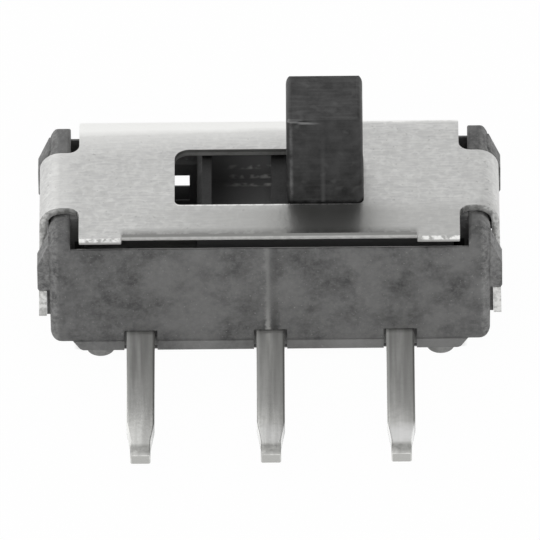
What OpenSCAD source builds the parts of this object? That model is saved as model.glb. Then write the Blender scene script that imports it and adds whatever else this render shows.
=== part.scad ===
// Miniature slide switch, three terminals in one row leaving the long front
// face. A moulded housing holds the terminals, a slider carries the moving
// contact and the detent spring, and a bent sheet-metal cover closes it.
// Millimetres. X runs along the slider's travel, Y from the terminals to the
// back, Z up along the lever. The origin is under the middle of the housing,
// in the plane of the feet.

/* [Housing] */
// Length of the housing over its end faces
housing_l = 8.5; // [7.6:0.05:12]
// Depth of the housing, front face to back face
housing_w = 3.5; // [3:0.05:5]
// Height from the underside of the base to the seat of the cover
housing_h = 2.64; // [2.3:0.02:4]
// Radius of the four upright corners
upright_r = 0.17; // [0.05:0.01:0.2]
// Thickness of the front and back walls
side_wall_t = 0.45; // [0.35:0.01:0.6]
// Thickness of the floor over the base
floor_t = 0.42; // [0.38:0.01:0.6]
// How far the top of the front wall lies below the cover
front_wall_drop = 0.15; // [0.05:0.01:0.3]
// How far the top of the back wall lies below the cover
back_wall_drop = 0.26; // [0.05:0.01:0.3]
// Length of each corner post
post_l = 0.42; // [0.36:0.01:0.5]
// Height of the corner posts above the seat of the cover
post_rise = 0.05; // [0.03:0.01:0.15]
// Radius of the outer shoulder of each corner post
post_r = 0.3; // [0.1:0.01:0.32]
// Depth of the recess beside each corner post
recess_depth = 0.95; // [0.5:0.05:1.4]
// Height of the step between the raised base and the ends
base_step = 0.22; // [0.1:0.01:0.3]
// Length of the raised base, at its underside
base_l = 7.3; // [6.6:0.05:7.6]
// How far the raised base stands proud of the front and back faces
base_proud = 0.02; // [0.01:0.005:0.05]

/* [Feet] */
// Diameter of each foot
foot_d = 0.54; // [0.4:0.01:0.8]
// Height of each foot
foot_h = 0.18; // [0.1:0.01:0.4]
// Distance between the feet along the housing
foot_pitch = 6.56; // [5.5:0.02:6.6]

/* [Latches] */
// How far each barb stands out from the end face
barb_out = 0.22; // [0.15:0.01:0.35]
// Height of a barb's straight face
barb_face_h = 0.54; // [0.3:0.01:0.7]
// Height of the ramp above the straight face
barb_ramp_h = 0.53; // [0.4:0.01:0.8]
// How far the barbs stand back from the front and back faces
barb_inset = 0.12; // [0.1:0.01:0.3]
// Width of each barb
barb_w = 0.41; // [0.3:0.01:0.5]
// Depth of the channel that the cover's leg runs in
channel_depth = 0.03; // [0.02:0.01:0.1]

/* [Cover] */
// Thickness of the sheet
sheet_t = 0.15; // [0.12:0.01:0.2]
// Width of each leg
leg_w = 1.66; // [1.2:0.02:2.2]
// Width of the foot of each leg, which hooks under the barbs
hook_w = 3.2; // [2.6:0.02:3.3]
// Height of the foot of each leg
hook_h = 0.68; // [0.5:0.01:0.9]
// Height of each leg's lower end above the base
leg_lift = 0.68; // [0.5:0.01:0.9]
// Inner radius of the bends
bend_r = 0.26; // [0.15:0.01:0.35]
// Angle at which the legs spread
leg_splay = 1; // [0:0.25:4]
// Length of the flat plate between its notches
plate_l = 7.32; // [6.4:0.02:7.5]
// Radius in the inner corners of the notches
notch_r = 0.22; // [0.1:0.01:0.3]
// How far the plate stands back from the front face
plate_front = 0.11; // [0.05:0.01:0.2]
// How far the plate stands back from the back face
plate_back = 0.02; // [0.02:0.01:0.2]
// Length of each sheared tab at the front edge
tab_l = 0.82; // [0.5:0.01:1]
// How far the slot lies behind the middle
slot_back = 0.07; // [0:0.01:0.1]
// Corner radius of the slot at the front
slot_front_r = 0.12; // [0.1:0.01:0.2]
// Corner radius of the slot at the back
slot_back_r = 0.28; // [0.1:0.01:0.3]

/* [Lever] */
// Length of the lever along its travel
lever_l = 1.47; // [1.2:0.01:1.8]
// Width of the lever across its travel
lever_w = 1.42; // [1.2:0.02:1.6]
// Height of the lever above the cover
lever_h = 2; // [1:0.05:4]
// Radius of the lever's top edges
lever_top_r = 0.12; // [0.05:0.01:0.2]
// Radius of the lever's upright edges
lever_edge_r = 0.14; // [0.02:0.01:0.2]
// Distance that the lever slides between its two positions
travel = 2.15; // [1.9:0.05:2.4]

/* [Slider] */
// Length of the end ribs of the slider
rib_t = 0.28; // [0.2:0.01:0.4]
// Size of the chamfer on the outer top edge of each end rib
rib_chamfer = 0.1; // [0.05:0.01:0.15]
// Length of the pocket on each side of the lever
pocket_l = 1.15; // [0.9:0.05:1.3]
// Length of the collar between the lever and each pocket
collar_l = 0.3; // [0.2:0.01:0.4]
// Height of the slider's plate
slider_h = 1.5; // [1.3:0.02:1.9]
// Depth of the pockets
pocket_depth = 0.65; // [0.5:0.01:0.7]
// Thickness of the rails in front of and behind the pockets
rail_t = 0.22; // [0.15:0.01:0.3]
// Depth of the groove that holds the detent spring
groove_depth = 0.5; // [0.4:0.01:0.55]

/* [Terminals] */
// Distance between neighbouring terminals
pitch = 2.5; // [2.4:0.02:2.6]
// Width of each terminal
pin_w = 0.54; // [0.4:0.01:0.7]
// Thickness of the terminals
pin_t = 0.3; // [0.2:0.01:0.36]
// Length of each terminal beyond the front face
pin_out = 3.6; // [2:0.05:6]
// Length of the narrow tip
tip_l = 0.39; // [0.2:0.01:0.6]
// Width of the tip
tip_w = 0.39; // [0.2:0.01:0.4]
// Length over which each terminal narrows to its tip
taper_l = 0.54; // [0.3:0.01:0.8]
// How far the end of the tip is coined down, above and below
coin_h = 0.04; // [0.02:0.01:0.1]
// Length of the coined slopes
coin_l = 0.22; // [0.1:0.01:0.4]
// Width of the contact pad at the inner end
pad_w = 0.9; // [0.7:0.02:1]
// Length of the contact pad
pad_l = 1.6; // [1.3:0.02:1.8]

/* [Springs] */
// Thickness of the contact clip
clip_t = 0.1; // [0.08:0.01:0.14]
// Width of the contact clip
clip_w = 1; // [0.8:0.02:1.2]
// Distance from the middle of the clip to each contact point
contact_reach = 1.25; // [1.15:0.01:1.35]
// Length of the upturned tip beyond each contact point
clip_tip_l = 0.4; // [0.3:0.02:0.5]
// Length of the clip's flat middle
clip_flat_l = 1.5; // [1.3:0.05:1.7]
// Distance between the pegs that hold the clip
peg_pitch = 0.84; // [0.7:0.02:1]
// Diameter of the pegs that hold the clip
peg_d = 0.3; // [0.2:0.01:0.4]
// Thickness of the detent spring
spring_t = 0.1; // [0.08:0.01:0.12]
// Height of the detent spring
spring_h = 0.5; // [0.4:0.01:0.6]
// Distance from the middle of the spring to each hump
hump_reach = 0.9; // [0.8:0.01:1]
// Length of the spring beyond each hump
spring_tail = 0.6; // [0.4:0.02:0.65]

/* [Clearances] */
// Between the slider and the walls beside it
slide_gap = 0.08; // [0.05:0.01:0.12]
// Between the slider's ends and the end walls
stop_gap = 0.08; // [0.05:0.01:0.15]
// Between the slider and the cover
lift_gap = 0.05; // [0.03:0.01:0.08]
// Between the lever and the ends of the slot
slot_end_gap = 0.01; // [0.01:0.01:0.05]
// Between the lever and the long sides of the slot
slot_side_gap = 0.12; // [0.05:0.01:0.15]
// Between a spring and the surface that it slides on
spring_gap = 0.03; // [0.02:0.01:0.05]
// Between the cover's legs and the housing
leg_gap = 0.05; // [0.03:0.005:0.08]
// Between the cover's hooks and the pads behind them
pad_gap = 0.005; // [0.005:0.005:0.02]
// Between the cover's hooks and the ledges of the barbs
hook_gap = 0.04; // [0.02:0.01:0.06]
// Round each terminal in its notch
notch_gap = 0.05; // [0.04:0.01:0.12]

/* [Hidden] */

ARC_STEPS = 6; // straight pieces in each rounded corner
EPS = 0.02; // how far a cut runs past the face it opens
TALL = 20; // longer than any piece, for cuts that run right through
$fn = 48;

// Heights, from the feet up
base_z = foot_h;
shelf_z = base_z + base_step;
floor_z = base_z + floor_t;
seat_z = base_z + housing_h;
post_z = seat_z + post_rise;
cover_top_z = seat_z + sheet_t;
pin_z = floor_z - pin_t;

// Slider, about the middle of the lever
slider_l = lever_l + 2 * (collar_l + pocket_l + rib_t);
slider_top_z = seat_z - lift_gap;
slider_z = slider_top_z - slider_h;
rest_x = travel / 2;

// Inside of the housing
room_l = slider_l + travel + 2 * stop_gap;
room_w = housing_w - 2 * side_wall_t;
slider_w = room_w - 2 * slide_gap;
pocket_w = slider_w - 2 * rail_t;
pocket_z = slider_top_z - pocket_depth;
mouth_land = 0.05; // flat left on top of the long walls
post_x = housing_l / 2 - post_l;
post_edge_r = 0.1; // on the other top edges of the corner posts

// Slot in the cover
slot_l = lever_l + travel + 2 * slot_end_gap;
slot_w = lever_w + 2 * slot_side_gap;

// The legs of the cover, whose inner faces spread downwards
leg_z = base_z + leg_lift;
leg_mid_z = seat_z + sheet_t / 2;
leg_x = housing_l / 2 - channel_depth + leg_gap;

// Barbs: the ledge lies just above the hook of the cover
ledge_z = leg_z + hook_h + hook_gap;
barb_ease = 0.05; // bevel under each barb's straight face
channel_side_gap = 0.14; // beside the leg in its channel
channel_w = leg_w + 2 * channel_side_gap;

// Base: its ends slope up to the underside of the housing
base_slope = 0.15;
end_draft = 0.02;

// Windows in the back wall, where the humps of the detent spring come to rest
window_l = 0.86;
window_h = 0.62;
window_x = rest_x + hump_reach;
window_z = base_z + 1.19;
spring_lift = 0.05; // the spring's middle lies this far above the windows' middle
spring_z = window_z + window_h / 2 + spring_lift;
fit = 0.05; // round the spring in its groove

// Notches under the terminals
notch_depth = 0.12;
notch_roof = 0.05; // above the terminal

function unit(v) = v / norm(v);
function left_of(v) = [-v.y, v.x];
function turned(v, a) = [v.x * cos(a) - v.y * sin(a), v.x * sin(a) + v.y * cos(a)];
function backwards(p) = [for (i = [len(p) - 1:-1:0]) p[i]];
function flipped(p) = [for (v = p) [-v.x, v.y]];

// The arc of radius r that rounds corner b of the line a, b, c
function corner(a, b, c, r) =
    let (
        u = unit(a - b),
        w = unit(c - b),
        half = acos(u * w) / 2,
        m = b + unit(u + w) * r / sin(half),
        from = b + u * r / tan(half) - m,
        to = b + w * r / tan(half) - m,
        sweep = atan2(cross(from, to), from * to)
    )
    r == 0 ? [b] : [for (k = [0:ARC_STEPS]) m + turned(from, sweep * k / ARC_STEPS)];

// A closed outline with corner i rounded to r[i]
function rounded(p, r) =
    let (n = len(p))
    [for (i = [0:n - 1]) each corner(p[(i + n - 1) % n], p[i], p[(i + 1) % n], r[i])];

// An open line with every inner corner rounded to r
function bent(p, r) =
    let (n = len(p))
    [
        p[0],
        for (i = [1:n - 2]) each corner(p[i - 1], p[i], p[i + 1], r),
        p[n - 1],
    ];

// The line p moved sideways by d
function shifted(p, d) =
    let (n = len(p))
    [
        for (i = [0:n - 1])
            let (
                before = left_of(unit(p[max(i, 1)] - p[max(i, 1) - 1])),
                after = left_of(unit(p[min(i, n - 2) + 1] - p[min(i, n - 2)]))
            )
            p[i] + (before + after) * d / (1 + before * after)
    ];

// Outline of a strip of thickness t along the line p
function strip(p, t) = concat(shifted(p, t / 2), backwards(shifted(p, -t / 2)));

// A symmetrical outline from its right half, bottom to top, with a radius for each corner
function both_halves(right, radii) =
    rounded(concat(right, backwards(flipped(right))), concat(radii, backwards(radii)));

// A rectangle about the origin with rounded corners
function plate(l, w, r) =
    rounded([[-l, -w] / 2, [l, -w] / 2, [l, w] / 2, [-l, w] / 2], [r, r, r, r]);

// An outline drawn in X and Z, made w deep in Y and centred
module across(w) {
    translate([0, w / 2, 0]) rotate([90, 0, 0]) linear_extrude(w) children();
}

// An outline drawn in Y and Z, made l long in X and centred
module along(l) {
    rotate([90, 0, 90]) linear_extrude(l, center = true) children();
}

// A box from its middle in X and Y and its lowest Z
module block(x, y, z, l, w, h) {
    translate([x - l / 2, y - w / 2, z]) cube([l, w, h]);
}

module both_ends() {
    for (side = [0, 1]) mirror([side, 0, 0]) children();
}

module both_sides() {
    for (side = [0, 1]) mirror([0, side, 0]) children();
}

// ---- Housing ----

// Front view of the housing: raised base, ends, cover seat and corner posts
module housing_front() {
    x = housing_l / 2;
    foot = base_l / 2;
    right = [
        [foot, base_z], [foot + base_slope, shelf_z], [x - end_draft, shelf_z],
        [x, post_z], [post_x, post_z], [post_x, seat_z],
    ];
    shoulder_r = min(post_r, post_l - post_edge_r);
    radii = [0.12, 0.06, 0.22, shoulder_r, post_edge_r, 0];
    polygon(both_halves(right, radii));
}

// The same from the end, which rounds the tops of the corner posts
module housing_end() {
    polygon(both_halves([[housing_w / 2, 0], [housing_w / 2, post_z]], [0, post_edge_r]));
}

// The raised base, slightly proud of the walls above it
module base() {
    foot = base_l / 2;
    across(housing_w + 2 * base_proud)
        polygon(both_halves([[foot, base_z], [foot + base_slope, shelf_z]], [0.12, 0]));
}

// One barb in front view: a ramp, a straight face and a ledge for the cover
module barb_outline() {
    root = housing_l / 2 - upright_r;
    tip = housing_l / 2 + barb_out;
    face_z = ledge_z + barb_ease;
    ramp_z = face_z + barb_face_h;
    top_z = ramp_z + barb_ramp_h;
    polygon([
        [root, ledge_z], [tip - barb_ease / 2, ledge_z], [tip, face_z],
        [tip, ramp_z], [housing_l / 2, top_z], [root, top_z],
    ]);
}

// One barb at its place, at the back right corner
module barb() {
    inner = housing_w / 2 - barb_inset - barb_w;
    translate([0, inner + barb_w / 2, 0]) across(barb_w) barb_outline();
}

// How far the middle of a leg's sheet has spread at a height
function spread(z) = leg_x + sheet_t / 2 + (leg_mid_z - z) * tan(leg_splay);

// The pad behind a cover's hook, on the end face below and beside the barb
module rest_pad() {
    root = housing_l / 2 - upright_r;
    back = sheet_t / 2 + pad_gap;
    inner = channel_w / 2;
    w = hook_w / 2 - barb_inset - inner;
    translate([0, inner + w / 2, 0]) across(w) polygon([
        [root, leg_z], [spread(leg_z) - back, leg_z],
        [spread(ledge_z) - back, ledge_z + EPS], [root, ledge_z + EPS],
    ]);
}

// The room for the slider, which opens out between the long walls
module room() {
    w = room_w / 2;
    flare = side_wall_t - mouth_land;
    lip_z = seat_z - front_wall_drop - flare;
    right = [[w, floor_z], [w, lip_z], [w + flare, lip_z + flare], [w + flare, TALL]];
    along(room_l) polygon(concat(right, backwards(flipped(right))));
}

// Recess between a corner post and the room, at the back right corner
module post_recess() {
    l = max(post_x - room_l / 2, 0) + EPS;
    y = channel_w / 2;
    translate([post_x - l, y, seat_z - recess_depth])
        cube([l, housing_w / 2 - mouth_land - y, TALL]);
}

// Notch in the front face round one terminal, open at the bottom
module pin_notch(x) {
    w = pin_w + 2 * notch_gap;
    h = floor_z + notch_roof - base_z;
    proud = base_proud + EPS;
    translate([x - w / 2, -housing_w / 2 - proud, base_z - EPS])
        cube([w, notch_depth + proud, h + EPS]);
}

// Steps down from the cover's seat to the tops of the long walls
module wall_tops() {
    y = channel_w / 2;
    translate([-post_x, -housing_w - y, seat_z - front_wall_drop])
        cube([2 * post_x, housing_w, TALL]);
    translate([-post_x, y, seat_z - back_wall_drop]) cube([2 * post_x, housing_w, TALL]);
}

// Channel over and down each end for the cover's leg, eased where the cover bends
module leg_channel() {
    x = housing_l / 2 - channel_depth;
    inner = post_x - EPS;
    bend = corner([0, seat_z], [x, seat_z], [x, 0], bend_r + leg_gap);
    around = [[x, -EPS], [x + 1, -EPS], [x + 1, TALL], [inner, TALL], [inner, seat_z]];
    across(channel_w) polygon(concat(bend, around));
}

module feet() {
    both_ends() both_sides()
        translate([foot_pitch / 2, (housing_w - foot_d) / 2 - EPS, 0])
            cylinder(h = foot_h + EPS, d = foot_d);
}

module housing() {
    color("#333536") difference() {
        union() {
            intersection() {
                across(housing_w) housing_front();
                along(housing_l) housing_end();
                linear_extrude(TALL) polygon(plate(housing_l, housing_w, upright_r));
            }
            base();
            both_ends() both_sides() {
                barb();
                rest_pad();
            }
            feet();
        }
        room();
        both_ends() both_sides() post_recess();
        wall_tops();
        both_ends() leg_channel();
        for (i = [-1:1]) pin_notch(i * pitch);
        for (i = [-1:1]) terminal_solid(i * pitch);
        both_ends() block(window_x, housing_w / 2, window_z, window_l, 2, window_h);
    }
}

// ---- Cover ----

// The sheet seen from the front: a flat plate with a leg bent down at each end
module cover_section() {
    foot_x = spread(leg_z);
    bend_x = spread(leg_mid_z);
    path = [[-foot_x, leg_z], [-bend_x, leg_mid_z], [bend_x, leg_mid_z], [foot_x, leg_z]];
    polygon(strip(bent(path, bend_r + sheet_t / 2), sheet_t));
}

// The blank from above: the plate, its tabs and the wings that become legs
module cover_plan() {
    front = -housing_w / 2 + plate_front;
    back = housing_w / 2 - plate_back;
    end = plate_l / 2;
    half = leg_w / 2;
    tab = end - tab_l;
    right = [
        [tab, front], [tab, front - plate_front], [end, front - plate_front], [end, -half],
        [housing_l, -half], [housing_l, half], [end, half], [end, back],
    ];
    radii = [0, 0.02, 0.02, notch_r, 0, 0, notch_r, 0.05];
    polygon(both_halves(right, radii));
}

// A leg from the end: narrow above, with a wide foot that hooks under the barbs
module leg_outline() {
    hook_z = leg_z + hook_h;
    half = leg_w / 2;
    wide = hook_w / 2;
    right = [[wide, leg_z], [wide, hook_z], [half, hook_z], [half, TALL]];
    radii = [0.1, 0.1, 0.03, 0];
    polygon(both_halves(right, radii));
}

// The slot for the lever, which keeps nearer to the front than to the back
module slot_outline() {
    right = [
        [slot_l / 2, slot_back - slot_w / 2], [slot_l / 2, slot_back + slot_w / 2],
    ];
    polygon(both_halves(right, [slot_front_r, slot_back_r]));
}

module cover() {
    color("#c9cbcc") difference() {
        intersection() {
            across(housing_w) cover_section();
            union() {
                linear_extrude(TALL) cover_plan();
                both_ends() translate([housing_l / 2, 0, 0]) along(0.7) leg_outline();
            }
        }
        linear_extrude(TALL) slot_outline();
    }
}

// ---- Slider with its lever ----

module lever() {
    z = slider_z;
    top = cover_top_z + lever_h;
    intersection() {
        linear_extrude(TALL) polygon(plate(lever_l, lever_w, lever_edge_r));
        across(lever_w) polygon(both_halves([[lever_l / 2, z], [lever_l / 2, top]], [0, lever_top_r]));
        along(lever_l) polygon(both_halves([[lever_w / 2, z], [lever_w / 2, top]], [0, lever_top_r / 2]));
    }
}

// Groove in the back of the slider that holds the detent spring
module spring_groove() {
    l = 2 * (hump_reach + spring_tail + 3 * fit);
    h = spring_h + 2 * fit;
    block(0, slider_w / 2, spring_z - h / 2, l, 2 * groove_depth, h);
}

// Front view of the slider's plate, with its end ribs chamfered
module slider_front() {
    l = slider_l / 2;
    top = slider_top_z;
    right = [[l, slider_z], [l, top - rib_chamfer], [l - rib_chamfer, top]];
    polygon(concat(right, backwards(flipped(right))));
}

module slider() {
    pocket_x = (lever_l + pocket_l) / 2 + collar_l;
    color("#2b2c2d") translate([rest_x, 0, 0]) {
        difference() {
            union() {
                across(slider_w) slider_front();
                lever();
            }
            both_ends() block(pocket_x, 0, pocket_z, pocket_l, pocket_w, TALL);
            spring_groove();
        }
        both_ends() clip_peg();
    }
}

// ---- Springs, in the slider's own place ----

// Peg under the slider that locates the contact clip
module clip_peg() {
    l = clip_t + 0.06;
    translate([peg_pitch / 2, 0, slider_z - l]) cylinder(h = l + EPS, d = peg_d);
}

// Bridge of spring strip: flat under the slider, two arms down to the pads
module contact_clip() {
    top = slider_z - clip_t / 2;
    low = floor_z + spring_gap + clip_t / 2;
    tip = [contact_reach + clip_tip_l, low + 0.7 * clip_tip_l];
    right = [[clip_flat_l / 2, top], [contact_reach, low], tip];
    path = concat(backwards(flipped(right)), right);
    color("#c8a45a") translate([rest_x, 0, 0]) difference() {
        across(clip_w) polygon(strip(bent(path, clip_t), clip_t));
        both_ends() translate([peg_pitch / 2, 0, slider_z - clip_t - EPS])
            cylinder(h = clip_t + 2 * EPS, d = peg_d + 2 * spring_gap);
    }
}

// Leaf with two humps that press on the back wall and drop into its windows
module detent_spring() {
    low = slider_w / 2 - groove_depth + spring_t / 2;
    crest = room_w / 2 - spring_gap - spring_t / 2;
    top = 0.08; // half the length of each hump's flat top
    right = [
        [hump_reach - groove_depth, low], [hump_reach - top, crest],
        [hump_reach + top, crest], [hump_reach + spring_tail, low + spring_gap],
    ];
    path = concat(backwards(flipped(right)), right);
    color("#b9bcbe") translate([rest_x, 0, spring_z - spring_h / 2])
        linear_extrude(spring_h) polygon(strip(bent(path, spring_t), spring_t));
}

// ---- Terminals ----

// A flat blade with a tapered, coined tip outside and a wide contact pad inside
module terminal_solid(x) {
    face = -housing_w / 2;
    end = face - pin_out;
    pad = face + side_wall_t + 0.35;
    top = pin_z + pin_t;
    right = [
        [tip_w / 2, end], [tip_w / 2, end + tip_l], [pin_w / 2, end + tip_l + taper_l],
        [pin_w / 2, pad], [pad_w / 2, pad], [pad_w / 2, pad + pad_l],
    ];
    radii = [0.04, 0.3, 0.5, 0, 0.1, 0.1];
    side = [
        [end, pin_z + coin_h], [end + coin_l, pin_z], [pad + pad_l, pin_z],
        [pad + pad_l, top], [end + coin_l, top], [end, top - coin_h],
    ];
    translate([x, 0, 0]) intersection() {
        linear_extrude(TALL) polygon(both_halves(right, radii));
        along(2 * pad_w) polygon(side);
    }
}

module terminal_left() { color("#b8babb") terminal_solid(-pitch); }
module terminal_common() { color("#b8babb") terminal_solid(0); }
module terminal_right() { color("#b8babb") terminal_solid(pitch); }

housing();
cover();
slider();
contact_clip();
detent_spring();
terminal_left();
terminal_common();
terminal_right();
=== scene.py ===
import math

import bmesh
import bpy
from mathutils import Matrix, Vector


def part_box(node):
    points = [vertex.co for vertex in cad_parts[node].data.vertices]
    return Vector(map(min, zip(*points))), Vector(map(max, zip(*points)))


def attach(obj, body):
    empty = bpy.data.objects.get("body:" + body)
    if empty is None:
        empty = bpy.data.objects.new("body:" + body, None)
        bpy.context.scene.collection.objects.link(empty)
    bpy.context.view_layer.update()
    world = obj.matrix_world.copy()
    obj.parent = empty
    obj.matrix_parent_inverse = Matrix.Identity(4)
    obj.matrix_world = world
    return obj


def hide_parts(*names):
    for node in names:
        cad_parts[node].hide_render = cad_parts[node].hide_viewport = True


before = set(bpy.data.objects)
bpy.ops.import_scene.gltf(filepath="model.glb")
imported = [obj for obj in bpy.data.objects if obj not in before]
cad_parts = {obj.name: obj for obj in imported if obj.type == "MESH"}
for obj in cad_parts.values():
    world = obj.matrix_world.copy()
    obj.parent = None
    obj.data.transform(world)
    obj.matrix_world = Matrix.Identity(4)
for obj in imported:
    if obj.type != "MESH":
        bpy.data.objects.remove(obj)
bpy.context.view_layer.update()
MM = 0.001

# ---- Camera ----
# A long lens looks down on the long front face, with the terminals towards it.
# It is turned by a hair to the right and about its own axis, as a hand-set
# product shot is.
CAMERA_AZIMUTH = math.radians(0.3)
CAMERA_ELEVATION = math.radians(40)
CAMERA_ROLL = math.radians(-0.7)
CAMERA_DISTANCE = 350 * MM
AIM_BEFORE_MIDDLE = 0.6 * MM
AIM_HEIGHT = 1.18 * MM
VIEW_WIDTH = 10.42 * MM

aim = Vector((0, -AIM_BEFORE_MIDDLE, AIM_HEIGHT))
towards_camera = Vector((0, -math.cos(CAMERA_ELEVATION), math.sin(CAMERA_ELEVATION)))
towards_camera.rotate(Matrix.Rotation(CAMERA_AZIMUTH, 3, "Z"))
facing = (-towards_camera).to_track_quat("-Z", "Y").to_matrix()
bpy.ops.object.camera_add(location=aim + towards_camera * CAMERA_DISTANCE)
camera = bpy.context.object
camera.rotation_euler = (Matrix.Rotation(CAMERA_ROLL, 3, towards_camera) @ facing).to_euler()
camera.data.lens = camera.data.sensor_width * CAMERA_DISTANCE / VIEW_WIDTH
bpy.context.scene.camera = camera
bpy.context.scene.view_settings.view_transform = "Standard"


# ---- Floor, sky and lamps ----
# A pale paper floor with a soft shadow, a white surround that is a little dimmer
# overhead, a large soft lamp from the back left and another in front, high up
# and to the right.
def add(tree, kind, inputs=None, **settings):
    """Adds a node with its settings, and sets its inputs or links them.

    A node given as an input stands for its first output.
    """
    made = tree.nodes.new(kind)
    for name, value in settings.items():
        setattr(made, name, value)
    for name, value in (inputs or {}).items():
        if isinstance(value, bpy.types.Node):
            value = value.outputs[0]
        if isinstance(value, bpy.types.NodeSocket):
            tree.links.new(value, made.inputs[name])
        else:
            made.inputs[name].default_value = value
    return made


def colour(code):
    """An sRGB hex colour as linear RGBA."""
    parts = [int(code[i : i + 2], 16) / 255 for i in (1, 3, 5)]
    return [c / 12.92 if c <= 0.04045 else ((c + 0.055) / 1.055) ** 2.4 for c in parts] + [1]


def new_material(name):
    """An empty material, its node tree, and the place on the piece, whole and along each axis."""
    material = bpy.data.materials.new(name)
    material.use_nodes = True
    tree = material.node_tree
    tree.nodes.clear()
    whole = add(tree, "ShaderNodeTexCoord").outputs["Object"]
    place = dict(add(tree, "ShaderNodeSeparateXYZ", {"Vector": whole}).outputs.items())
    place["XYZ"] = whole
    return material, tree, place


def zone(tree, place, **limits):
    """One inside some limits and nothing outside them.

    A limit is its low end, its high end and how soft both are. An end that is
    None is open.
    """
    inside = 1.0
    for way, (low, high, soft) in limits.items():
        for end, before, after in ((low, 0.0, 1.0), (high, 1.0, 0.0)):
            if end is not None:
                side = add(tree, "ShaderNodeMapRange", {
                    "Value": place[way], "From Min": end - soft, "From Max": end + soft,
                    "To Min": before, "To Max": after,
                })
                inside = add(tree, "ShaderNodeMath", {0: inside, 1: side}, operation="MULTIPLY")
    return inside


def painted(tree, ground, *coats):
    """A ground colour with coats over it, each a colour and the amounts that thin it."""
    tint = colour(ground)
    for code, *amounts in coats:
        share = 1.0
        for amount in amounts:
            share = add(tree, "ShaderNodeMath", {0: share, 1: amount}, operation="MULTIPLY")
        # A Mix node has inputs of one name for each type: 6 and 7 are its colours
        tint = add(tree, "ShaderNodeMix", {0: share, 6: tint, 7: colour(code)}, data_type="RGBA").outputs[2]
    return tint


# How soft the ends of a zone are
SHARP = 0.005 * MM
CRISP = 0.01 * MM
SOFT = 0.02 * MM
BLURRED = 0.03 * MM
FADED = 0.1 * MM

FLOOR_SIZE = 600 * MM
FLOOR_KEEPS = 0.975  # the share of the floor's look that is plain white paper
UNDER_HALF_LENGTH = 3.6 * MM
UNDER_HALF_WIDTH = 1.52 * MM
UNDER_FADE = 0.2 * MM

bpy.ops.mesh.primitive_plane_add(size=FLOOR_SIZE)
floor = bpy.context.object
floor.name = "floor"
paper, tree, place = new_material("white_paper_floor")
path = add(tree, "ShaderNodeLightPath").outputs
seen = add(tree, "ShaderNodeMath", {0: path["Is Camera Ray"], 1: path["Is Glossy Ray"]}, operation="MAXIMUM")
seen = add(tree, "ShaderNodeMath", {0: seen, 1: path["Is Transmission Ray"]}, operation="MAXIMUM")
keeps = add(tree, "ShaderNodeMath", {0: seen, 1: FLOOR_KEEPS}, operation="MULTIPLY")
matte = add(tree, "ShaderNodeBsdfDiffuse", {"Color": colour("#f0f0f0")})
# A painted shadow: right under the object, where no light comes, the white paper is painted dark
under = zone(
    tree, place,
    X=(-UNDER_HALF_LENGTH, UNDER_HALF_LENGTH, UNDER_FADE), Y=(-UNDER_HALF_WIDTH, UNDER_HALF_WIDTH, SOFT),
)
lit = painted(tree, "#ffffff", ("#3a3a3a", under))
white = add(tree, "ShaderNodeEmission", {"Color": lit, "Strength": 1.0})
mixed = add(tree, "ShaderNodeMixShader", {"Fac": keeps, 1: matte, 2: white})
add(tree, "ShaderNodeOutputMaterial", {"Surface": mixed})
floor.data.materials.append(paper)

HORIZON = 1.0
OVERHEAD = 0.68
RIGHT_SHADE = 0.1  # how much dimmer the surround is at the far right, and brighter at the far left
sky = bpy.data.worlds.new("white_surround")
bpy.context.scene.world = sky
sky.use_nodes = True
tree = sky.node_tree
tree.nodes.clear()
direction = add(tree, "ShaderNodeTexCoord").outputs["Generated"]
way = add(tree, "ShaderNodeSeparateXYZ", {"Vector": direction}).outputs
level = add(tree, "ShaderNodeMapRange", {"Value": way["Z"], "To Min": HORIZON, "To Max": OVERHEAD})
aside = add(tree, "ShaderNodeMath", {0: way["X"], 1: -RIGHT_SHADE}, operation="MULTIPLY")
level = add(tree, "ShaderNodeMath", {0: level, 1: aside}, operation="ADD")
# The backdrop itself is plain white paper to the eye
seen = add(tree, "ShaderNodeLightPath").outputs["Is Camera Ray"]
level = add(tree, "ShaderNodeMix", {0: seen, 2: level, 3: 1.0}, data_type="FLOAT")
glow = add(tree, "ShaderNodeBackground", {"Color": colour("#ffffff"), "Strength": level})
add(tree, "ShaderNodeOutputWorld", {"Surface": glow})


def lamp(name, spot, size, power):
    """A square soft lamp that faces the object."""
    bpy.ops.object.light_add(type="AREA", location=spot)
    light = bpy.context.object
    light.name = name
    light.data.shape = "SQUARE"
    light.data.size = size
    light.data.energy = power
    light.rotation_euler = (aim - light.location).to_track_quat("-Z", "Y").to_euler()


lamp("lamp_back_left", spot=Vector((-55, 60, 66)) * MM, size=100 * MM, power=0.008)
lamp("lamp_front", spot=Vector((60, -140, 120)) * MM, size=120 * MM, power=0.03)


# ---- Housing ----
# A tub moulded in black glass-filled thermoplastic. The glass comes to the skin
# as grey clouds and pale specks, and a rough witness line runs down the front
# to the middle terminal, where the melt met.
MERGE_WITHIN = 0.0005  # mm
FLAT = math.radians(0.3)
CORNER = math.radians(35)
SMOOTH = math.radians(32)
CROWN_STEPS = 4


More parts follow.
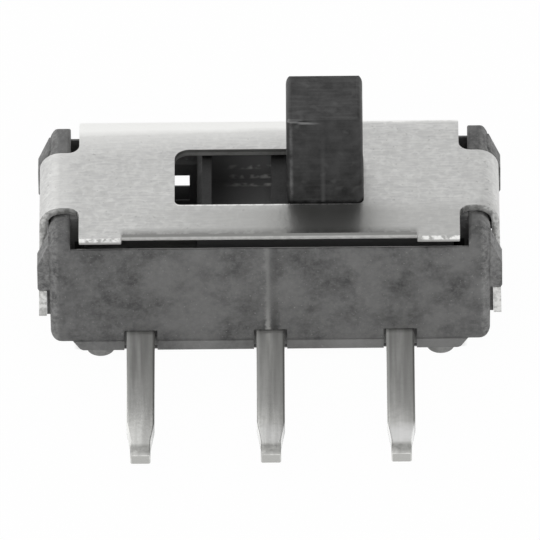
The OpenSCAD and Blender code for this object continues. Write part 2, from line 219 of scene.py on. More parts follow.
def finished(node, body, material, edge_r, steps, crown_r=0):
    """A copy of a CAD node with its faces merged, sharp edges rounded and bends smooth.

    crown_r rounds the edges of its highest faces more than the rest.
    """
    bpy.ops.object.select_all(action="DESELECT")
    piece = bpy.data.objects.new(node + "_finished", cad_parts[node].data.copy())
    bpy.context.scene.collection.objects.link(piece)
    bpy.context.view_layer.objects.active = piece
    piece.select_set(True)
    piece.data.materials.clear()
    piece.data.materials.append(material)
    # Worked in millimetres, because a bevel loses its way on such small sizes in metres
    piece.scale = [1 / MM] * 3
    bpy.ops.object.transform_apply(location=False, rotation=False, scale=True)
    bpy.ops.object.mode_set(mode="EDIT")
    bpy.ops.mesh.select_all(action="SELECT")
    bpy.ops.mesh.remove_doubles(threshold=MERGE_WITHIN)
    bpy.ops.mesh.dissolve_limited(angle_limit=FLAT)
    if crown_r:
        bpy.ops.mesh.select_all(action="DESELECT")
        bpy.ops.mesh.select_mode(type="EDGE")
        shape = bmesh.from_edit_mesh(piece.data)
        top = max(v.co.z for v in shape.verts) - 2 * MERGE_WITHIN
        for edge in shape.edges:
            crest = min(v.co.z for v in edge.verts) > top
            edge.select_set(crest and edge.calc_face_angle(0) > CORNER)
        bpy.ops.mesh.bevel(offset=crown_r / MM, segments=CROWN_STEPS, affect="EDGES")
    bpy.ops.object.mode_set(mode="OBJECT")
    rounding = piece.modifiers.new("edges", "BEVEL")
    rounding.width = edge_r / MM
    rounding.segments = steps
    rounding.limit_method = "ANGLE"
    rounding.angle_limit = CORNER
    bpy.ops.object.modifier_apply(modifier=rounding.name)
    piece.scale = [MM] * 3
    bpy.ops.object.transform_apply(location=False, rotation=False, scale=True)
    bpy.ops.object.shade_smooth_by_angle(angle=SMOOTH)
    # Large faces keep their own normals, so that only the rounded edges between them shade round
    weighting = piece.modifiers.new("weighted", "WEIGHTED_NORMAL")
    weighting.keep_sharp = True
    bpy.ops.object.modifier_apply(modifier=weighting.name)
    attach(piece, body)
    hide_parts(node)
    return piece


CLOUD_SIZE = 0.55 * MM
SMUDGE_SIZE = 1.1 * MM
MOTTLE_SIZE = 0.1 * MM
SPECK_SIZE = 0.045 * MM
BASE_TOP = 0.4 * MM
FOOT_TOP = 0.17 * MM
CORNER_HIGHLIGHT_FROM = 4.08 * MM  # where the upright corners begin, each way from the middle
FRONT_FACE = -1.7 * MM
FRONT_BLUR = 0.001 * MM
WITNESS_X = -0.05 * MM
WITNESS_WANDER = 0.06 * MM
WITNESS_HALF = 0.042 * MM
WITNESS_BLUR = 0.024 * MM
FLANK_LEFT, FLANK_RIGHT = 0.084 * MM, 0.204 * MM
FLANK_BLUR = 0.036 * MM
WITNESS_LOW = 0.64 * MM
WITNESS_ROUGH_TO = 1.3 * MM
ROOM_HALF_LENGTH = 3.75 * MM
ROOM_HALF_WIDTH = 1.72 * MM
ROOM_LOW, ROOM_HIGH = 0.55 * MM, 2.25 * MM
ROOM_FLOOR = 0.65 * MM
BACK_WALL_FRONT, BACK_WALL_BEHIND = 1.25 * MM, 1.33 * MM
BACK_WALL_LOW, BACK_WALL_HIGH = 0.7 * MM, 2.9 * MM
WINDOW_FROM = 1.32 * MM
SILL_HALF_LENGTH = 3.7 * MM
SILL_FRONT, SILL_BACK = -1.71 * MM, -1.2 * MM
SILL_LOW, SILL_HIGH = 2.2 * MM, 2.75 * MM
SILL_BLUR = 0.004 * MM

# Filled thermoplastic as moulded: matt, cloudy and a little rough to the eye
filled, tree, place = new_material("glass_filled_moulding_black")
clouds = add(tree, "ShaderNodeTexNoise", {
    "Vector": place["XYZ"], "Scale": 1 / CLOUD_SIZE, "Detail": 3.0, "Roughness": 0.6,
})
smudges = add(tree, "ShaderNodeTexNoise", {"Vector": place["XYZ"], "Scale": 1 / SMUDGE_SIZE, "Detail": 2.0})
mottle = add(tree, "ShaderNodeTexNoise", {
    "Vector": place["XYZ"], "Scale": 1 / MOTTLE_SIZE, "Detail": 2.0, "Roughness": 0.7,
})
specks = add(tree, "ShaderNodeTexNoise", {"Vector": place["XYZ"], "Scale": 1 / SPECK_SIZE, "Detail": 1.0})
cloudy = add(tree, "ShaderNodeMapRange", {"Value": clouds, "From Min": 0.3, "From Max": 0.7})
smudged = add(tree, "ShaderNodeMapRange", {
    "Value": smudges, "From Min": 0.42, "From Max": 0.66, "To Max": 0.5,
})
mottled = add(tree, "ShaderNodeMapRange", {
    "Value": mottle, "From Min": 0.35, "From Max": 0.75, "To Max": 0.45,
})
speckled = add(tree, "ShaderNodeMapRange", {
    "Value": specks, "From Min": 0.68, "From Max": 0.8, "To Max": 0.4,
})
# The strip under the step and the feet are painted paler
low_down = zone(tree, place, Z=(None, BASE_TOP, SOFT))
feet = zone(tree, place, Z=(None, FOOT_TOP, CRISP))
# The upright corners are painted paler too, a painted highlight on their rounding
place["along"] = add(tree, "ShaderNodeMath", {0: place["X"]}, operation="ABSOLUTE")
corner_highlight = zone(tree, place, along=(CORNER_HIGHLIGHT_FROM, None, BLURRED))
# The witness line is rough and pale just above the terminal, fainter towards the top, with a dark flank
wander = add(tree, "ShaderNodeMapRange", {
    "Value": mottle, "To Min": -WITNESS_X - WITNESS_WANDER, "To Max": -WITNESS_X + WITNESS_WANDER,
})
place["aside"] = add(tree, "ShaderNodeMath", {0: place["X"], 1: wander}, operation="ADD")
on_front = zone(tree, place, Y=(None, FRONT_FACE, FRONT_BLUR), Z=(WITNESS_LOW, None, CRISP))
fading = add(tree, "ShaderNodeMapRange", {
    "Value": place["Z"], "From Min": WITNESS_LOW, "From Max": WITNESS_ROUGH_TO,
    "To Min": 0.75, "To Max": 0.24,
})
fading = add(tree, "ShaderNodeMath", {0: fading, 1: on_front}, operation="MULTIPLY")
line = zone(tree, place, aside=(-WITNESS_HALF, WITNESS_HALF, WITNESS_BLUR))
witness = add(tree, "ShaderNodeMath", {0: line, 1: fading}, operation="MULTIPLY")
flank = zone(tree, place, aside=(FLANK_LEFT, FLANK_RIGHT, FLANK_BLUR))
# Inside the tub the skin is painted near black, a painted shade, and its floor paler, a painted light. The
# back wall's inner face is painted lighter, a painted light, and the depth of its windows near black, a
# painted shade.
room_length = (-ROOM_HALF_LENGTH, ROOM_HALF_LENGTH, CRISP)
inside = zone(
    tree, place,
    X=room_length, Y=(-ROOM_HALF_WIDTH, ROOM_HALF_WIDTH, SHARP), Z=(ROOM_LOW, ROOM_HIGH, SOFT),
)
on_floor = zone(tree, place, Z=(None, ROOM_FLOOR, CRISP))
back_wall = zone(
    tree, place,
    X=room_length, Y=(BACK_WALL_FRONT, BACK_WALL_BEHIND, SHARP), Z=(BACK_WALL_LOW, BACK_WALL_HIGH, SOFT),
)
in_window = zone(tree, place, Y=(WINDOW_FROM, ROOM_HALF_WIDTH, SHARP))
in_window = add(tree, "ShaderNodeMath", {0: in_window, 1: inside}, operation="MULTIPLY")
# The front wall's top under the cover's front edge is painted pale, a painted light in the cover's shadow
sill = zone(
    tree, place,
    X=(-SILL_HALF_LENGTH, SILL_HALF_LENGTH, CRISP),
    Y=(SILL_FRONT, SILL_BACK, SILL_BLUR),
    Z=(SILL_LOW, SILL_HIGH, CRISP),
)
tint = painted(
    tree, "#393939",
    ("#606060", cloudy),
    ("#737372", smudged),
    ("#7e7e7d", mottled),
    ("#adadac", speckled),
    ("#8a8a89", low_down, smudges),
    ("#a2a2a0", feet, mottle),
    ("#a2a2a1", corner_highlight, mottled),
    ("#2e2e2e", flank, fading),
    ("#a8a8a6", witness),
    ("#1d1d1d", inside),
    ("#8a8a88", inside, on_floor),
    ("#5a5a5a", back_wall),
    ("#020202", in_window),
    ("#b4b4b2", sill),
)
roughness = add(tree, "ShaderNodeMapRange", {"Value": in_window, "To Min": 0.58, "To Max": 1.0})
relief = add(tree, "ShaderNodeBump", {"Height": mottle, "Strength": 0.5, "Distance": 0.012 * MM})
relief = add(tree, "ShaderNodeBump", {
    "Height": specks, "Strength": 0.5, "Distance": 0.006 * MM, "Normal": relief,
})
relief = add(tree, "ShaderNodeBump", {
    "Height": witness, "Strength": 0.6, "Distance": 0.02 * MM, "Normal": relief,
})
skin = add(tree, "ShaderNodeBsdfPrincipled", {"Base Color": tint, "Roughness": roughness, "Normal": relief})
add(tree, "ShaderNodeOutputMaterial", {"Surface": skin})
finished("housing", "base", filled, edge_r=0.016 * MM, steps=2, crown_r=0.1 * MM)


# ---- Terminals ----
# Flat blades stamped from brass, coined at the tips and tin plated. They are
# moulded into the floor of the housing. Stamping rounds their upper edges.
STREAK_WIDTH, STREAK_LENGTH = 0.05 * MM, 0.9 * MM
WIPE_WIDTH, WIPE_LENGTH = 0.14 * MM, 2.4 * MM
BLOOM_SIZE = 0.12 * MM
PIN_PITCH = 2.5 * MM
# Places across a blade, from its middle
SHADE_FROM, SHADE_TO = 0.02 * MM, 0.26 * MM
LEFT_EDGE_TO, RIGHT_EDGE_FROM = -0.215 * MM, 0.235 * MM
EDGES_END = 0.3 * MM
EDGE_BLUR = 0.015 * MM
# Places along it, from its tip
END_DEPTH, END_BLUR = 0.004 * MM, 0.002 * MM
BURR_GLINT_FRONT, BURR_GLINT_BACK, BURR_GLINT_BLUR = 0.012 * MM, 0.04 * MM, 0.008 * MM
BURR_GLINT_HEIGHT, BURR_GLINT_TOP_BLUR = 0.03 * MM, 0.004 * MM
BAND_FRONT, BAND_BACK, BAND_BLUR = 0.06 * MM, 0.27 * MM, 0.05 * MM
COINED_HIGHLIGHT_FRONT, COINED_HIGHLIGHT_BACK, COINED_HIGHLIGHT_BLUR = 0.3 * MM, 0.8 * MM, 0.12 * MM
terminal_low, terminal_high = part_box("terminal_common")

# Tin over brass: bright but soft, streaked along the blade, with a bloom on it
dipped, tree, place = new_material("tin_plated_brass")
streaks = add(tree, "ShaderNodeMapping", {
    "Vector": place["XYZ"], "Scale": (1 / STREAK_WIDTH, 1 / STREAK_LENGTH, 1 / STREAK_WIDTH),
})
streaks = add(tree, "ShaderNodeTexNoise", {"Vector": streaks, "Scale": 1.0, "Detail": 3.0})
wiped = add(tree, "ShaderNodeMapping", {
    "Vector": place["XYZ"], "Scale": (1 / WIPE_WIDTH, 1 / WIPE_LENGTH, 1 / WIPE_WIDTH),
})
wiped = add(tree, "ShaderNodeTexNoise", {"Vector": wiped, "Scale": 1.0, "Detail": 1.0})
bloom = add(tree, "ShaderNodeTexNoise", {
    "Vector": place["XYZ"], "Scale": 1 / BLOOM_SIZE, "Detail": 3.0, "Roughness": 0.65,
})
dulled = add(tree, "ShaderNodeMapRange", {"Value": bloom, "From Min": 0.3, "From Max": 0.7})
streaked = add(tree, "ShaderNodeMapRange", {
    "Value": streaks, "From Min": 0.42, "From Max": 0.7, "To Max": 0.4,
})
wiped = add(tree, "ShaderNodeMapRange", {"Value": wiped, "From Min": 0.42, "From Max": 0.62, "To Max": 0.6})
patchy = add(tree, "ShaderNodeMapRange", {"Value": bloom, "From Min": 0.35, "From Max": 0.6, "To Min": 0.6})
# The right side of each blade and a band just before its tip are painted darker, a painted shade:
# the right side turns from the light, and the band darkens what the blade reflects
place["across"] = add(
    tree, "ShaderNodeMath", {0: place["X"], 1: PIN_PITCH / 2, 2: -PIN_PITCH / 2}, operation="WRAP"
)
place["behind_tip"] = add(tree, "ShaderNodeMath", {0: place["Y"], 1: terminal_low.y}, operation="SUBTRACT")
right_side_shade = add(tree, "ShaderNodeMapRange", {
    "Value": place["across"], "From Min": SHADE_FROM, "From Max": SHADE_TO, "To Max": 0.7,
})
# The left edge of each blade is painted paler, a painted highlight, and the right edge darker, a painted
# shade
left_edge_highlight = zone(tree, place, across=(-EDGES_END, LEFT_EDGE_TO, EDGE_BLUR))
right_edge_shade = zone(tree, place, across=(RIGHT_EDGE_FROM, EDGES_END, EDGE_BLUR))
band = zone(tree, place, behind_tip=(BAND_FRONT, BAND_BACK, BAND_BLUR))
# A painted highlight, bright in patches, along the burr at the top of each blade near its tip
burr_glint = zone(
    tree, place,
    behind_tip=(BURR_GLINT_FRONT, BURR_GLINT_BACK, BURR_GLINT_BLUR), Z=(terminal_high.z - BURR_GLINT_HEIGHT, None, BURR_GLINT_TOP_BLUR),
)
cut_end = zone(tree, place, behind_tip=(None, END_DEPTH, END_BLUR))
# A painted highlight lies on the flat behind the band, brightest on the right blade
coined_highlight = zone(tree, place, behind_tip=(COINED_HIGHLIGHT_FRONT, COINED_HIGHLIGHT_BACK, COINED_HIGHLIGHT_BLUR))
shining = add(tree, "ShaderNodeMapRange", {
    "Value": place["X"], "From Min": -PIN_PITCH, "From Max": PIN_PITCH, "To Min": 0.0, "To Max": 0.6,
})
tint = painted(
    tree, "#e4e4e1",
    ("#eeeeeb", dulled),
    ("#c2c2bf", streaked),
    ("#b4b4b1", wiped),
    ("#c0c0bd", right_side_shade),
    ("#f6f6f3", left_edge_highlight),
    ("#8e8e8b", right_edge_shade),
    ("#ffffff", coined_highlight, shining),
    ("#9c9c99", band, patchy),
    ("#ffffff", burr_glint, patchy),
    ("#b6b6b3", cut_end),
)
relief = add(tree, "ShaderNodeBump", {"Height": streaks, "Strength": 0.4, "Distance": 0.005 * MM})
relief = add(tree, "ShaderNodeBump", {
    "Height": bloom, "Strength": 0.3, "Distance": 0.008 * MM, "Normal": relief,
})
skin = add(tree, "ShaderNodeBsdfPrincipled", {
    "Base Color": tint, "Metallic": 0.68, "Roughness": 0.22, "Normal": relief,
})
add(tree, "ShaderNodeOutputMaterial", {"Surface": skin})
for side in ("left", "common", "right"):
    finished("terminal_" + side, "base", dipped, edge_r=0.03 * MM, steps=3)


# ---- Slider ----
# The lever and the slider are one moulding in black thermoplastic, smoother
# and darker than the housing, with a faint parting line down the lever's front.
DULL_SIZE = 0.3 * MM
GRAIN_SIZE = 0.05 * MM
SPOT_SIZE = 0.17 * MM
RUB_LENGTH, RUB_WIDTH = 0.8 * MM, 0.07 * MM
LEVER_LEFT = 0.34 * MM
LEVER_FRONT = -0.71 * MM
LEVER_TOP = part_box("slider")[1].z
LEVER_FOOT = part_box("cover")[1].z
TOP_DEPTH = 0.01 * MM
FRONT_DEPTH = 0.02 * MM
PARTING_X = 1.04 * MM
PARTING_HALF = 0.035 * MM
PARTING_BLUR = PARTING_HALF * 2 / 3
PARTING_FADES = 0.3 * MM  # below the lever's top
LEVER_GLINT_LEFT, LEVER_GLINT_RIGHT = LEVER_LEFT + 0.04 * MM, LEVER_LEFT + 0.11 * MM
DASHES_RIGHT = LEVER_LEFT + 0.6 * MM
DASHES_LOW, DASHES_HIGH = LEVER_TOP - 0.08 * MM, LEVER_TOP - 0.01 * MM
DASHES_BACK = LEVER_FRONT + 0.12 * MM
SLIDER_FRONT = -1.22 * MM
POCKET_LEFT, POCKET_RIGHT, POCKET_BACK = -1.11 * MM, 0.04 * MM, 1.0 * MM
POCKET_FLOOR, POCKET_RIM = 2.12 * MM, 2.77 * MM
# The pocket's own finish is its painted light and painted glints
POCKET_SKIN = 0.02 * MM  # how far past its faces the pocket's own finish reaches
RIM_BELOW, RIM_ABOVE = 0.1 * MM, 0.02 * MM
FRONT_LIGHT_BELOW_RIM = 0.05 * MM
# Places down the pocket's back wall and on over its floor
POCKET_GLINT_FROM, POCKET_GLINT_TO = 2.88 * MM, 3.55 * MM
POCKET_GLINT_ROW = 0.235 * MM
POCKET_GLINT_START = 2.97 * MM
POCKET_GLINT_SIZE = 0.13 * MM
SHADE_LEFT, SHADE_RIGHT = POCKET_LEFT + 0.2 * MM, POCKET_RIGHT - 0.15 * MM

# Unfilled thermoplastic as moulded: deep black with a low sheen, rubbed by fingers
smooth, tree, place = new_material("moulded_lever_black")
dulling = add(tree, "ShaderNodeTexNoise", {
    "Vector": place["XYZ"], "Scale": 1 / DULL_SIZE, "Detail": 4.0, "Roughness": 0.65,
})
grain = add(tree, "ShaderNodeTexNoise", {"Vector": place["XYZ"], "Scale": 1 / GRAIN_SIZE, "Detail": 3.0})
spots = add(tree, "ShaderNodeTexNoise", {"Vector": place["XYZ"], "Scale": 1 / SPOT_SIZE, "Detail": 0.0})
rubs = add(tree, "ShaderNodeMapping", {
    "Vector": place["XYZ"], "Scale": (1 / RUB_LENGTH, 1 / RUB_WIDTH, 1 / RUB_WIDTH),
})
rubs = add(tree, "ShaderNodeTexNoise", {"Vector": rubs, "Scale": 1.0, "Detail": 3.0})
dulled = add(tree, "ShaderNodeMapRange", {"Value": dulling, "From Min": 0.35, "From Max": 0.68})
streaky = add(tree, "ShaderNodeMapRange", {"Value": rubs, "From Min": 0.5, "From Max": 0.75, "To Max": 0.28})
spotted = add(tree, "ShaderNodeMapRange", {"Value": spots, "From Min": 0.66, "From Max": 0.9, "To Max": 0.7})
smeared = add(tree, "ShaderNodeMapRange", {"Value": rubs, "From Min": 0.35, "From Max": 0.75, "To Max": 0.8})
dashes = add(tree, "ShaderNodeMapRange", {"Value": rubs, "From Min": 0.52, "From Max": 0.6, "To Max": 0.8})
on_top = zone(tree, place, Z=(LEVER_TOP - TOP_DEPTH, None, SHARP))
on_front = zone(tree, place, Y=(None, LEVER_FRONT + FRONT_DEPTH, CRISP), Z=(LEVER_FOOT, None, CRISP))
# The parting line shows on the lower half of the lever's front
line = zone(tree, place, X=(PARTING_X - PARTING_HALF, PARTING_X + PARTING_HALF, PARTING_BLUR))
lower = add(tree, "ShaderNodeMapRange", {
    "Value": place["Z"], "From Min": LEVER_FOOT, "From Max": LEVER_TOP - PARTING_FADES,
    "To Min": 0.7, "To Max": 0.05,
})
# A painted highlight runs down the lever's front left edge, and along the front of its top in dashes that are
# part wear and part painted highlight
left_edge_glint = zone(tree, place, X=(LEVER_GLINT_LEFT, LEVER_GLINT_RIGHT, BLURRED))
top_edge_glint_and_wear = zone(
    tree, place,
    X=(None, DASHES_RIGHT, FADED), Y=(None, DASHES_BACK, SOFT), Z=(DASHES_LOW, DASHES_HIGH, SOFT),
)
# The rim of the slider is painted near black, a painted shade under the cover, and its front is painted grey,
# a painted light where it lies in shadow behind the housing
shade_under_cover = zone(tree, place, Z=(POCKET_RIM - RIM_BELOW, POCKET_RIM + RIM_ABOVE, SOFT))
front_painted_light = zone(
    tree, place,
    Y=(None, SLIDER_FRONT + FRONT_DEPTH, SHARP), Z=(POCKET_FLOOR, POCKET_RIM - FRONT_LIGHT_BELOW_RIM, SOFT),
)
# The pocket beside the lever is painted greyer, a painted light in its shade, and paler towards the lever,
# and rows of painted glints shine in it
in_pocket = zone(
    tree, place,
    X=(POCKET_LEFT - POCKET_SKIN, POCKET_RIGHT + POCKET_SKIN, SHARP),
    Y=(-POCKET_BACK - POCKET_SKIN, POCKET_BACK + POCKET_SKIN, SHARP),
    Z=(POCKET_FLOOR - POCKET_SKIN, POCKET_RIM - POCKET_SKIN, SHARP),
)
near_lever = add(tree, "ShaderNodeMapRange", {
    "Value": place["X"], "From Min": SHADE_LEFT, "From Max": SHADE_RIGHT,
})
place["down"] = add(tree, "ShaderNodeMath", {0: place["Z"], 1: place["Y"]}, operation="ADD")
pocket_glints = zone(tree, place, down=(POCKET_GLINT_FROM, POCKET_GLINT_TO, SOFT))
rows = add(tree, "ShaderNodeMapRange", {
    "Value": place["down"], "From Min": POCKET_GLINT_START, "From Max": POCKET_GLINT_START + POCKET_GLINT_ROW,
    "To Max": 2 * math.pi,
}, clamp=False)
rows = add(tree, "ShaderNodeMath", {0: rows}, operation="COSINE")
rows = add(tree, "ShaderNodeMapRange", {"Value": rows, "From Min": -0.2, "From Max": 0.8})
blobs = add(tree, "ShaderNodeTexNoise", {"Vector": place["XYZ"], "Scale": 1 / POCKET_GLINT_SIZE, "Detail": 1.0})
blobs = add(tree, "ShaderNodeMapRange", {"Value": blobs, "From Min": 0.42, "From Max": 0.68})
tint = painted(
    tree, "#151515",
    ("#393939", dulled),
    ("#454545", streaky),
    ("#4e4e4e", spotted),
    ("#484848", on_top, dulled, smeared),
    ("#505050", on_front, line, lower),
    ("#6c6c6c", on_front, left_edge_glint, dulled),
    ("#7c7c7c", top_edge_glint_and_wear, dashes),
    ("#0e0e0e", shade_under_cover),
    ("#5c5c5c", front_painted_light),
    ("#363636", in_pocket),
    ("#5c5c5c", in_pocket, near_lever),
    ("#a2a2a0", in_pocket, near_lever, pocket_glints, rows, blobs),
)
roughness = add(tree, "ShaderNodeMapRange", {
    "Value": dulling, "From Min": 0.35, "From Max": 0.65, "To Min": 0.36, "To Max": 0.52,
})
relief = add(tree, "ShaderNodeBump", {"Height": grain, "Strength": 0.35, "Distance": 0.006 * MM})
relief = add(tree, "ShaderNodeBump", {
    "Height": dulling, "Strength": 0.4, "Distance": 0.03 * MM, "Normal": relief,
})
skin = add(tree, "ShaderNodeBsdfPrincipled", {
    "Base Color": tint, "Roughness": roughness, "Specular IOR Level": 0.38, "Normal": relief,
})
add(tree, "ShaderNodeOutputMaterial", {"Surface": skin})
finished("slider", "slide", smooth, edge_r=0.014 * MM, steps=2)


# ---- Contact clip ----
# A bridge of phosphor bronze strip on two pegs under the slider, bright as it
# left the rolls, with rolling lines along it.
def rolled_strip(name, code, roughness, line_sizes):
    """Bare metal strip with fine rolling lines, of a length or a width along each axis."""
    strip, tree, place = new_material(name)
    lines = add(tree, "ShaderNodeMapping", {
        "Vector": place["XYZ"], "Scale": [1 / size for size in line_sizes],
    })
    lines = add(tree, "ShaderNodeTexNoise", {"Vector": lines, "Scale": 1.0, "Detail": 3.0})
    relief = add(tree, "ShaderNodeBump", {"Height": lines, "Strength": 0.3, "Distance": 0.004 * MM})
    skin = add(tree, "ShaderNodeBsdfPrincipled", {
        "Base Color": colour(code), "Metallic": 1.0, "Roughness": roughness, "Normal": relief,
    })
    add(tree, "ShaderNodeOutputMaterial", {"Surface": skin})
    return strip


LINE_LENGTH = 0.6 * MM
CLIP_LINE_WIDTH = 0.03 * MM

bronze = rolled_strip("phosphor_bronze_strip", "#b9a487", 0.3, (LINE_LENGTH, CLIP_LINE_WIDTH, LINE_LENGTH))
finished("contact_clip", "slide", bronze, edge_r=0.01 * MM, steps=1)


# ---- Detent spring ----
# A leaf of spring steel strip in the back of the slider, blued a little by its
# tempering, with rolling lines along it.
SPRING_LINE_WIDTH = 0.025 * MM

sprung = rolled_strip("spring_steel_strip", "#b4b6b8", 0.28, (LINE_LENGTH, LINE_LENGTH, SPRING_LINE_WIDTH))
finished("detent_spring", "slide", sprung, edge_r=0.01 * MM, steps=1)


# ---- Cover ----
# Tin-plated sheet steel, blanked, bent over the housing and snapped under its
# barbs. Fine rolling lines run along it, the skin has a few pits, and the
# sheared edges are rougher and greyer than the rolled faces.
ROLLING_LENGTH, ROLLING_WIDTH = 0.3 * MM, 0.045 * MM
BLOTCH_SIZE = 0.45 * MM
RIPPLE_SIZE = 0.13 * MM
DIMPLE_SIZE = 0.09 * MM
PLATE_HALF = 3.66 * MM
PLATE_BACK = 1.73 * MM
PLATE_FRONT = -1.64 * MM
TAB_FROM = 2.84 * MM
TAB_END = -1.75 * MM
TAB_BLUR = 0.04 * MM
DIE_ROLL = 0.2 * MM
BEND_HIGHLIGHT_LEFT, BEND_HIGHLIGHT_RIGHT = -4.1 * MM, -3.8 * MM
BEND_HIGHLIGHT_SHARE = 0.3
LEVER_SHADE_LEFT, LEVER_SHADE_FROM = -2.8 * MM, 0.3 * MM
LEVER_SHADE_TO, LEVER_SHADE_RIGHT = 1.9 * MM, 2.7 * MM
LEVER_SHADE_FRONT, LEVER_SHADE_BACK = -1.0 * MM, -0.6 * MM
SLOT_FRONT = -0.76 * MM
SLOT_HALF = 1.75 * MM
SLOT_BURR_GLINT = 0.035 * MM
SLOT_FACE = 0.05 * MM  # how far into the slot the burr's shine reaches
SLOT_BLUR = 0.05 * MM
BAND_LEFT_WIDTH, BAND_RIGHT_WIDTH = 0.36 * MM, 0.24 * MM
BAND_EVEN_FROM = 0.3 * MM
BAND_NARROWS, BAND_NARROWED = 0.7 * MM, 1.6 * MM
BAND_WAVER = 0.08 * MM
ROLL_OFF = 0.045 * MM

# Tin over rolled steel: a soft mirror with fine lines along it
plated, tree, place = new_material("tin_plated_sheet_steel")
rolling = add(tree, "ShaderNodeMapping", {
    "Vector": place["XYZ"], "Scale": (1 / ROLLING_LENGTH, 1 / ROLLING_WIDTH, 1 / ROLLING_WIDTH),
})
rolling = add(tree, "ShaderNodeTexNoise", {"Vector": rolling, "Scale": 1.0, "Detail": 3.0, "Distortion": 0.4})
blotch = add(tree, "ShaderNodeTexNoise", {
    "Vector": place["XYZ"], "Scale": 1 / BLOTCH_SIZE, "Detail": 5.0, "Roughness": 0.7,
})
ripple = add(tree, "ShaderNodeTexNoise", {
    "Vector": place["XYZ"], "Scale": 1 / RIPPLE_SIZE, "Detail": 2.0, "Distortion": 0.6,
})
dimple = add(tree, "ShaderNodeTexNoise", {"Vector": place["XYZ"], "Scale": 1 / DIMPLE_SIZE, "Detail": 2.0})
blotchy = add(tree, "ShaderNodeMapRange", {"Value": blotch, "From Min": 0.32, "From Max": 0.68})
lined = add(tree, "ShaderNodeMapRange", {"Value": rolling, "From Min": 0.35, "From Max": 0.65, "To Max": 0.6})
rippled = add(tree, "ShaderNodeMapRange", {
    "Value": ripple, "From Min": 0.45, "From Max": 0.7, "To Max": 0.45,
})
pitted = add(tree, "ShaderNodeMapRange", {
    "Value": dimple, "From Min": 0.25, "From Max": 0.34, "To Min": 0.5, "To Max": 0.0,
})
# A painted highlight brightens the steel towards the left bend
left_bend_highlight = zone(tree, place, X=(BEND_HIGHLIGHT_LEFT, BEND_HIGHLIGHT_RIGHT, FADED))
# A painted shade darkens the strip in front of the slot, a painted reflection of the dark lever and slot
beside = add(tree, "ShaderNodeMapRange", {
    "Value": place["X"], "From Min": LEVER_SHADE_LEFT, "From Max": LEVER_SHADE_FROM,
})
beyond = add(tree, "ShaderNodeMapRange", {
    "Value": place["X"], "From Min": LEVER_SHADE_TO, "From Max": LEVER_SHADE_RIGHT, "To Min": 1.0, "To Max": 0.5,
})
in_front = add(tree, "ShaderNodeMapRange", {
    "Value": place["Y"], "From Min": LEVER_SHADE_FRONT, "From Max": LEVER_SHADE_BACK, "To Min": 1.0, "To Max": 0.0,
})
# The blanking die rolled the front edge over, and the plate is painted darker along it, between the two tabs
die_roll = add(tree, "ShaderNodeMapRange", {
    "Value": place["Y"], "From Min": PLATE_FRONT, "From Max": PLATE_FRONT + DIE_ROLL,
    "To Min": 0.95, "To Max": 0.0,
})
mid_front = zone(tree, place, X=(-TAB_FROM, TAB_FROM, TAB_BLUR))
broken = add(tree, "ShaderNodeMapRange", {
    "Value": ripple, "From Min": 0.36, "From Max": 0.56, "To Min": 0.55,
})
# A painted highlight lies along the burr at the front of the slot, in dashes
burr_glint = zone(
    tree, place,
    X=(-SLOT_HALF, SLOT_HALF, SLOT_BLUR), Y=(SLOT_FRONT - SLOT_BURR_GLINT, SLOT_FRONT + SLOT_FACE, CRISP),
)
dashed = add(tree, "ShaderNodeMapRange", {"Value": ripple, "From Min": 0.4, "From Max": 0.54, "To Min": 0.25})
# A painted highlight lies along the plate's back edge, in a band that is wider to the left and falls away at
# the edge
inward = add(tree, "ShaderNodeMath", {0: PLATE_BACK, 1: place["Y"]}, operation="SUBTRACT")
band = add(tree, "ShaderNodeMapRange", {
    "Value": place["X"], "From Min": -PLATE_HALF, "From Max": BAND_EVEN_FROM,
    "To Min": BAND_LEFT_WIDTH, "To Max": BAND_RIGHT_WIDTH,
})
falling = add(tree, "ShaderNodeMath", {0: inward, 1: band}, operation="DIVIDE")
falling = add(tree, "ShaderNodeMapRange", {
    "Value": falling, "From Min": 0.0, "From Max": 1.3,
}, interpolation_type="SMOOTHSTEP")
narrows = add(tree, "ShaderNodeMapRange", {
    "Value": place["X"], "From Min": BAND_NARROWS, "From Max": BAND_NARROWED, "To Min": 1.0, "To Max": 0.15,
})
width = add(tree, "ShaderNodeMath", {0: band, 1: narrows}, operation="MULTIPLY")
uneven = add(tree, "ShaderNodeMapRange", {"Value": blotch, "To Min": -BAND_WAVER, "To Max": BAND_WAVER})
reach = add(tree, "ShaderNodeMath", {0: inward, 1: uneven}, operation="ADD")
reach = add(tree, "ShaderNodeMath", {0: reach, 1: width}, operation="DIVIDE")
bright = add(tree, "ShaderNodeMapRange", {
    "Value": reach, "From Min": 0.7, "From Max": 1.2, "To Min": 1.0, "To Max": 0.0,
})
highlight_fringe = add(tree, "ShaderNodeMapRange", {
    "Value": reach, "From Min": 1.0, "From Max": 3.0, "To Min": 0.75, "To Max": 0.0,
})
tint = painted(
    tree, "#cbcbc9",
    ("#d8d8d6", blotchy),
    ("#bababa", lined),
    ("#e6e6e4", rippled),
    ("#8c8c8a", pitted),
    ("#ececea", left_bend_highlight, BEND_HIGHLIGHT_SHARE),
    ("#b2b2b0", beside, beyond, in_front),
    ("#878785", die_roll, mid_front, broken),
    ("#fbfbf9", burr_glint, dashed),
    ("#efefed", highlight_fringe),
    ("#fdfdfb", bright),
)
relief = add(tree, "ShaderNodeBump", {"Height": rolling, "Strength": 0.3, "Distance": 0.004 * MM})
relief = add(tree, "ShaderNodeBump", {
    "Height": ripple, "Strength": 0.3, "Distance": 0.012 * MM, "Normal": relief,
})
relief = add(tree, "ShaderNodeBump", {
    "Height": falling, "Strength": 1.0, "Distance": ROLL_OFF, "Normal": relief,
})
skin = add(tree, "ShaderNodeBsdfPrincipled", {
    "Base Color": tint, "Metallic": 1.0, "Roughness": 0.34, "Normal": relief,
})
add(tree, "ShaderNodeOutputMaterial", {"Surface": skin})

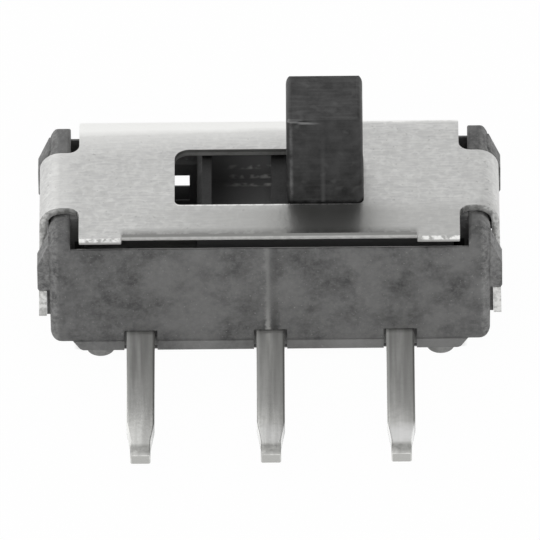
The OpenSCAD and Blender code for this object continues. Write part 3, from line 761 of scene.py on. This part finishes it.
TEAR_SIZE = 0.12 * MM
TAB_FACE = TAB_END + 0.03 * MM
plate_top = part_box("cover")[1].z
LIP_TOP = plate_top - 0.1 * MM
SHADE_LOW = plate_top - 0.07 * MM
SHADE_BLUR = 0.015 * MM
EVEN_SHARE = 0.75

# The torn face of a sheared edge: grey and rough, with bright breaks
sheared, tree, place = new_material("sheared_steel_edge")
tear = add(tree, "ShaderNodeTexNoise", {
    "Vector": place["XYZ"], "Scale": 1 / TEAR_SIZE, "Detail": 2.0, "Roughness": 0.6,
})
torn = add(tree, "ShaderNodeMapRange", {"Value": tear, "From Min": 0.4, "From Max": 0.6})
# The tabs' ends broke off bright, above a darker lip
on_tab = zone(tree, place, Y=(None, TAB_FACE, SHARP))
lip = zone(tree, place, Z=(None, LIP_TOP, SOFT))
# The long edge between them is evenly sheared, and painted darker at its top next to the die roll, a painted
# shade
between_tabs = zone(tree, place, X=(-TAB_FROM, TAB_FROM, SOFT))
off_tab = zone(tree, place, Y=(TAB_FACE, None, SHARP))
upper = zone(tree, place, Z=(SHADE_LOW, None, SHADE_BLUR))
tint = painted(
    tree, "#b2b2b0",
    ("#dededc", torn),
    ("#f6f6f4", on_tab, torn),
    ("#a4a4a2", on_tab, lip),
    ("#c4c4c2", between_tabs, off_tab, EVEN_SHARE),
    ("#8a8a88", between_tabs, upper),
)
relief = add(tree, "ShaderNodeBump", {"Height": tear, "Strength": 0.5, "Distance": 0.02 * MM})
skin = add(tree, "ShaderNodeBsdfPrincipled", {
    "Base Color": tint, "Metallic": 0.8, "Roughness": 0.45, "Normal": relief,
})
add(tree, "ShaderNodeOutputMaterial", {"Surface": skin})

cover = finished("cover", "base", plated, edge_r=0.03 * MM, steps=3)
cover.data.materials.append(sheared)
FACES = 0.7  # a face looks along an axis where its normal has more than this share of it
PLATE_END = PLATE_HALF + 0.02 * MM
plate_z = plate_top - 0.2 * MM
leg_z = plate_z - 0.5 * MM
for face in cover.data.polygons:
    across_sheet = abs(face.normal.y) > FACES
    on_plate = face.center.z > plate_z and abs(face.center.x) < PLATE_END
    end_of_plate = abs(face.normal.x) > FACES and on_plate
    end_of_leg = abs(face.normal.z) > FACES and face.center.z < leg_z
    if across_sheet or end_of_plate or end_of_leg:
        face.material_index = 1
